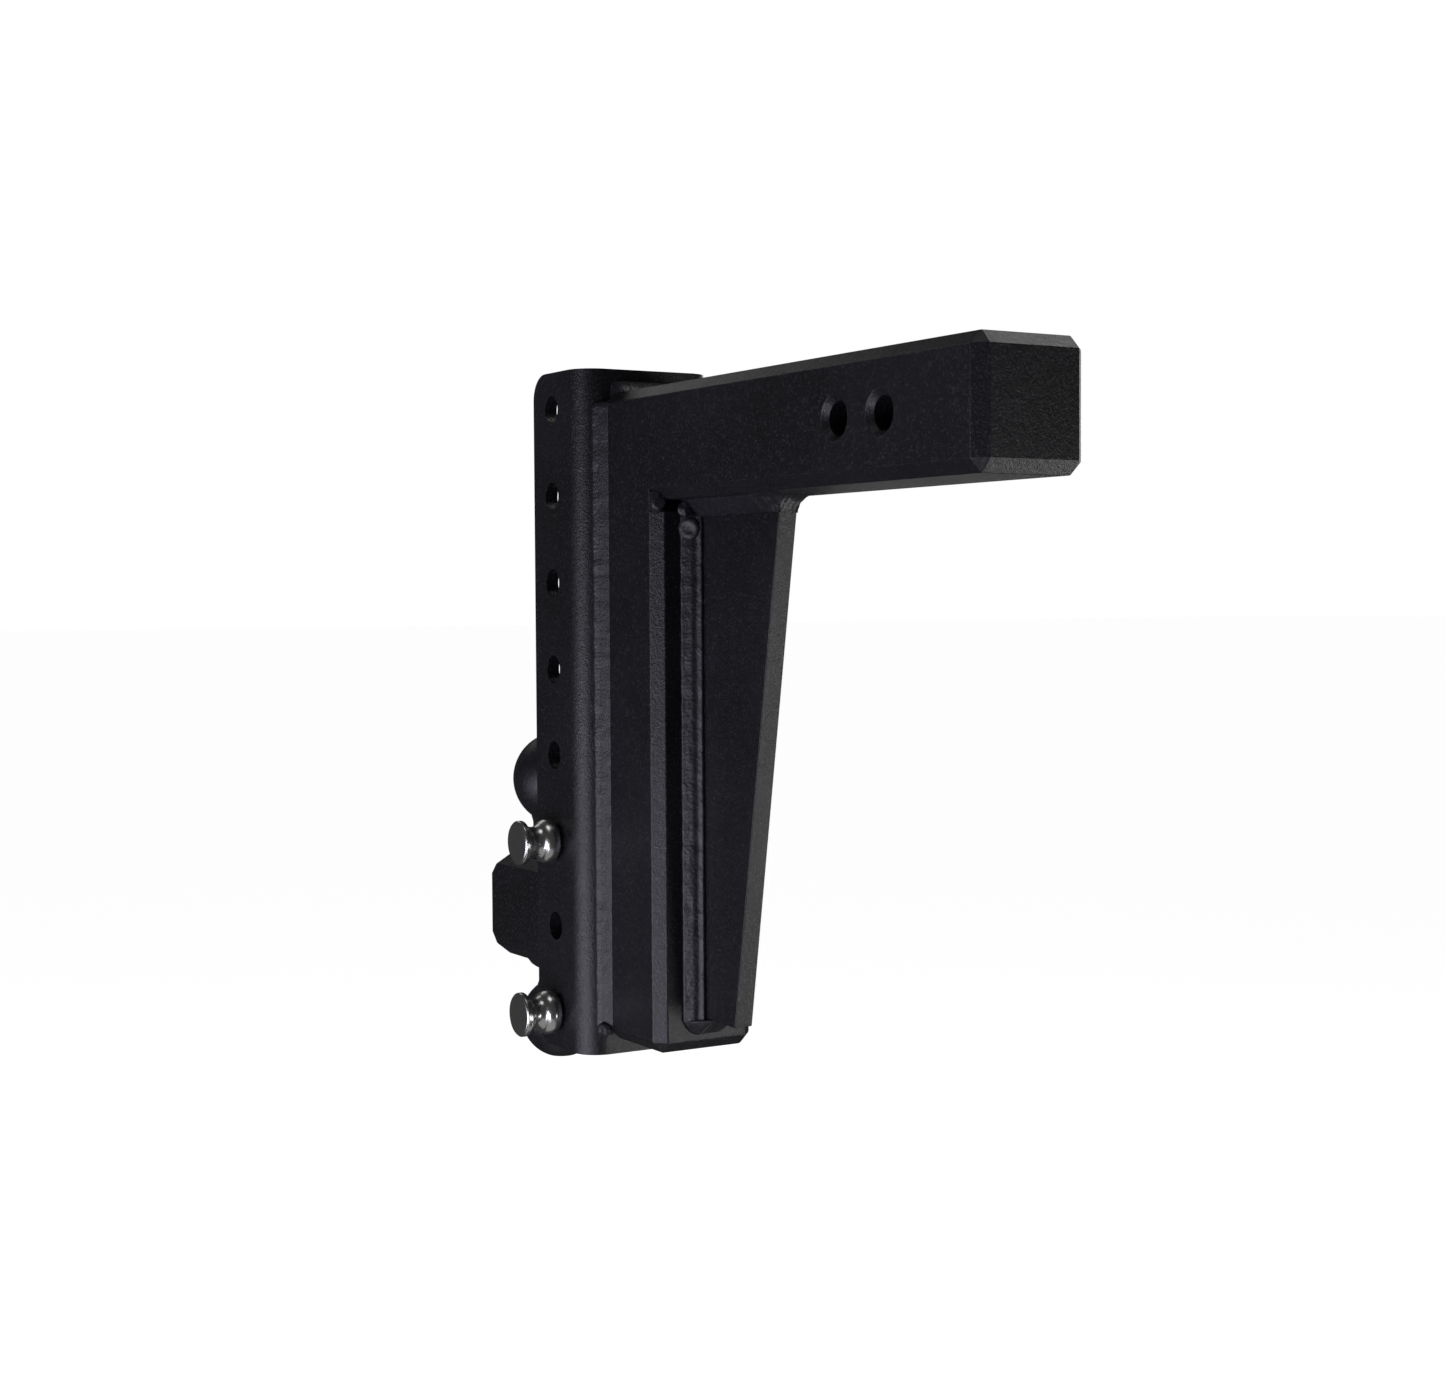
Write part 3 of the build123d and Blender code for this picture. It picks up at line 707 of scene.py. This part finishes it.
for ball_name, up, _, neck_r, _ in BALLS:
    stations = ring_stations(Vector((BALL_X, 0, 0)), neck_r, 8.0 * MM, MOUNT_Z + up * BAR_HALF, up)
    bead(f"bead_ball_{ball_name}", f"weld_ball_{ball_name}", stations, 1.0 * MM, 0.28 * MM, 3.0 * MM,
         closed=True, wander=0.2 * MM, seed=31.0 + up)

# Bead round the block's root, against the upright
root_x = block_hi.x
flat = BAR_HALF - CHAMFER
outline = []
corners = ((-1, -1), (-1, 1), (1, 1), (1, -1))
for index, (sy, sz) in enumerate(corners):
    ny, nz = corners[(index + 1) % 4]
    here = Vector((0, sy * flat, MOUNT_Z + sz * flat))
    there = Vector((0, ny * flat, MOUNT_Z + nz * flat))
    edge_out = Vector((0, sy + ny, sz + nz)).normalized()
    for p in steps(here, there):
        outline.append((p, edge_out))
    after = corners[(index + 2) % 4]
    next_out = Vector((0, ny + after[0], nz + after[1])).normalized()
    for k in range(1, 10):
        outline.append((there, edge_out.lerp(next_out, k / 10).normalized()))
outline.append(outline[0])
stations = []
for point, out in outline:
    base = Vector((root_x, point.y, point.z))
    reach = CHAMFER + 5.5 * MM * abs(out.z)
    toe_upright = base + out * reach + Vector((TOE_SINK, 0, 0))
    toe_block = base + out * (CHAMFER - TOE_SINK) + Vector((-CHAMFER - 3.0 * MM, 0, 0))
    root = base - out * 0.5 * MM + Vector((-0.6 * MM, 0, 0))
    stations.append((toe_upright, toe_block, root))
bead("bead_block", "weld_block", stations, 0.9 * MM, 0.28 * MM, 3.0 * MM,
     closed=True, wander=0.15 * MM, seed=41.0)


# ---- Dressed groove welds: thin, slightly uneven skins over the seam between shank and drop bar
def dressed_patch(name, node, side, length, height):
    bm = bmesh.new()
    columns, rows = 64, 22
    start_x = WEB_X + 9.0 * MM
    grid = []
    for i in range(columns + 1):
        column = []
        for j in range(rows + 1):
            u, v = i / columns, j / rows
            border = min(u, 1 - u) * columns / 4, min(v, 1 - v) * rows / 4
            inside = min(1.0, border[0], border[1])
            bumps = noise.noise(Vector((u * 6, v * 3, side * 4.0))) * 0.06 * MM
            proud = (0.16 * MM + bumps) * inside - 0.05 * MM * (1 - inside)
            wave = noise.noise(Vector((u * 9, side * 2.0, 5.0))) * 0.5 * MM * (2 * v - 1)
            z = -BAR_HALF + (v - 0.5) * height + wave
            column.append(bm.verts.new((start_x + u * length, side * (BAR_HALF + proud), z)))
        grid.append(column)
    back = []
    for i in range(columns + 1):
        back.append([bm.verts.new((v.co.x, side * (BAR_HALF - 2.0 * MM), v.co.z)) for v in grid[i]])
    for i in range(columns):
        for j in range(rows):
            bm.faces.new((grid[i][j], grid[i + 1][j], grid[i + 1][j + 1], grid[i][j + 1]))
            bm.faces.new((back[i][j], back[i][j + 1], back[i + 1][j + 1], back[i + 1][j]))
    for i in range(columns):
        for j in (0, rows):
            bm.faces.new((grid[i][j], grid[i + 1][j], back[i + 1][j], back[i][j]))
    for j in range(rows):
        for i in (0, columns):
            bm.faces.new((grid[i][j], grid[i][j + 1], back[i][j + 1], back[i][j]))
    return make_piece(name, bm, coat_bar, "root", node)


for side_name, side in (("near", -1), ("far", 1)):
    length = BAR_FACE_X - WEB_X - 15.0 * MM
    dressed_patch(f"seam_{side_name}", f"weld_seam_{side_name}", side, length, 14.0 * MM)


# ---- Weld stops: dished puddles where a pass ends
def puddle(name, centre, normal, radius, height, seed):
    rim, dish = 0.72, 0.24
    across = normal.orthogonal().normalized()
    profile = [(0, -height * 0.8), (radius * 0.96, -height * 0.8)]
    for k in range(19):
        t = k / 18
        r = radius * (1 - t)
        rise = sqrt(1 - (1 - t) ** 5)
        hollow = dish * (0.5 - 0.5 * cos(pi * min(1.0, max(0.0, (radius * rim - r) / (radius * 0.55)))))
        profile.append((r, height * (rise - hollow)))
    profile[-1] = (0, profile[-1][1])
    bm = lathe(profile, centre, normal, across, 48)
    for vert in bm.verts:
        vert.co += normal * noise.noise(vert.co * 150 + Vector((seed, 0, 0))) * 0.5 * MM
    return make_piece(name, bm, coat_weld_painted_lighter, "root")


def blob(name, centre, size, seed):
    """A small lump of weld metal, squashed and dented."""
    bm = bmesh.new()
    bmesh.ops.create_icosphere(bm, subdivisions=4, radius=1.0)
    for vert in bm.verts:
        dent = 1 + 0.30 * noise.noise(vert.co * 1.3 + Vector((seed, 0, 0))) + 0.05 * noise.noise(vert.co * 5)
        vert.co = centre + Vector((vert.co.x * size[0], vert.co.y * size[1], vert.co.z * size[2])) * dent
    return make_piece(name, bm, coat_weld_painted_lighter, "root")


for side_name, side in (("near", -1), ("far", 1)):
    lean = Vector((0.62, side * 0.78, -0.05)).normalized()
    stop = Vector((BAR_FACE_X + 3.4 * MM, side * (GUSSET_Y + 6.4 * MM), -BAR_HALF - 16.0 * MM))
    puddle(f"stop_gusset_{side_name}", stop, lean, 6.7 * MM, 1.9 * MM, 3.0 + side)
    corner = Vector((BAR_FACE_X - 3.0 * MM, side * (BAR_HALF - 3.6 * MM), -BAR_HALF - 1.0 * MM))
    blob(f"stop_corner_{side_name}", corner, (5.4 * MM, 4.6 * MM, 6.6 * MM), 6.0 + side)
    join = Vector((BAR_FACE_X + 3.2 * MM, side * (GUSSET_Y + 8.2 * MM), -BAR_HALF - 5.2 * MM))
    blob(f"stop_join_{side_name}", join, (3.4 * MM, 4.4 * MM, 5.4 * MM), 12.0 + side)
    low = Vector((WEB_X + 3.4 * MM, side * 34.2 * MM, bead_bottom - 0.5 * MM))
    blob(f"stop_channel_{side_name}", low, (6.6 * MM, 3.8 * MM, 4.6 * MM), 5.0 + side)


# ---- Floor, light and camera
FLOOR_DROP = 0.45


def stage_floor():
    bm = bmesh.new()
    bmesh.ops.create_grid(bm, x_segments=2, y_segments=2, size=60.0)
    mesh = bpy.data.meshes.new("floor")
    bm.to_mesh(mesh)
    bm.free()
    floor_object = bpy.data.objects.new("floor", mesh)
    floor_object.location = (0, 0, cad_box[0].z - FLOOR_DROP)
    bpy.context.scene.collection.objects.link(floor_object)
    mat, tree, shader = new_material("pale_floor")
    shader.inputs["Base Color"].default_value = (0.8, 0.8, 0.8, 1.0)
    shader.inputs["Roughness"].default_value = 0.9
    shader.inputs["Emission Color"].default_value = (1.0, 1.0, 1.0, 1.0)
    shader.inputs["Emission Strength"].default_value = 0.95
    mesh.materials.append(mat)
    floor_object.visible_glossy = False
    floor_object.visible_diffuse = False
    floor_object.visible_shadow = False


def stage_world(ambient):
    world = bpy.data.worlds.new("studio")
    bpy.context.scene.world = world
    world.use_nodes = True
    tree = world.node_tree
    background = tree.nodes["Background"]
    background.inputs["Color"].default_value = (1, 1, 1, 1)
    path = tree.nodes.new("ShaderNodeLightPath")
    strength = tree.nodes.new("ShaderNodeMapRange")
    strength.inputs["To Min"].default_value = ambient
    strength.inputs["To Max"].default_value = 1.0
    tree.links.new(path.outputs["Is Camera Ray"], strength.inputs["Value"])
    tree.links.new(strength.outputs["Result"], background.inputs["Strength"])


LIGHT_TARGET = Vector((-0.16, 0, -0.15))


def bearing(turn, rise):
    """Direction in degrees: turned from -Y towards +X, then raised."""
    turn, rise = radians(turn), radians(rise)
    return sin(turn) * cos(rise), -cos(turn) * cos(rise), sin(rise)


def softbox(name, direction, distance, width, height, power, colour=(1, 1, 1)):
    """Area light at a direction from the object's middle, facing it."""
    light = bpy.data.lights.new(name, "AREA")
    light.shape = "RECTANGLE"
    light.size = width
    light.size_y = height
    light.energy = power
    light.color = colour
    lamp = bpy.data.objects.new(name, light)
    ray = Vector(direction).normalized()
    lamp.location = LIGHT_TARGET + ray * distance
    lamp.rotation_euler = (-ray).to_track_quat("-Z", "Y").to_euler()
    lamp.visible_camera = False
    bpy.context.scene.collection.objects.link(lamp)


stage_floor()
stage_world(0.04)
COOL = (0.88, 0.86, 1.0)
softbox("strip_front", bearing(2, -16), 1.6, 0.5, 0.8, 7.2, COOL)
softbox("strip_right", bearing(20, -16), 1.5, 0.3, 0.8, 2.4, COOL)
softbox("strip_left", bearing(-25, -18), 1.6, 0.4, 0.8, 1.9, COOL)
softbox("strip_side", bearing(29, -30), 0.9, 0.15, 0.5, 1.05, COOL)
softbox("bounce_right", (0.80, 0.53, -0.29), 1.8, 1.0, 0.6, 7.4)
softbox("bounce_below", (0.2, -0.2, -1.0), 1.2, 1.5, 1.5, 1.6)
softbox("top_soft", (0.09, -0.25, 0.95), 1.8, 0.8, 0.8, 2.0)
softbox("bounce_rear", (0.25, 0.75, -0.62), 1.8, 0.6, 0.6, 5.6)
softbox("back_left", (-0.857, -0.04, 0.52), 1.6, 0.9, 0.5, 0.75)
softbox("back_top", (-0.08, 0.63, 0.78), 1.8, 0.8, 0.8, 4.0)
softbox("fill_behind", (-0.62, 0.76, 0.18), 2.4, 1.4, 1.0, 7.0)

VIEW_AZIMUTH = radians(58.998)
VIEW_PITCH = radians(-2.527)
VIEW_ROLL = radians(-0.326)
CAMERA_AT = Vector((859.98, -635.05, -87.21)) * MM
FOCAL_LENGTH = 55.4
heading = Vector((-sin(VIEW_AZIMUTH), cos(VIEW_AZIMUTH), 0))
forward = heading * cos(VIEW_PITCH) + Vector((0, 0, sin(VIEW_PITCH)))
level = forward.cross(Vector((0, 0, 1))).normalized()
upright = level.cross(forward)
right = level * cos(VIEW_ROLL) + upright * sin(VIEW_ROLL)
over = upright * cos(VIEW_ROLL) - level * sin(VIEW_ROLL)
camera_data = bpy.data.cameras.new("camera")
camera_data.lens = FOCAL_LENGTH
camera_data.sensor_width = 36.0
camera_data.clip_end = 200.0
camera = bpy.data.objects.new("camera", camera_data)
axes = Matrix((right, over, -forward)).transposed()
camera.matrix_world = Matrix.Translation(CAMERA_AT) @ axes.to_4x4()
bpy.context.scene.collection.objects.link(camera)
bpy.context.scene.camera = camera
bpy.context.scene.view_settings.view_transform = "Standard"
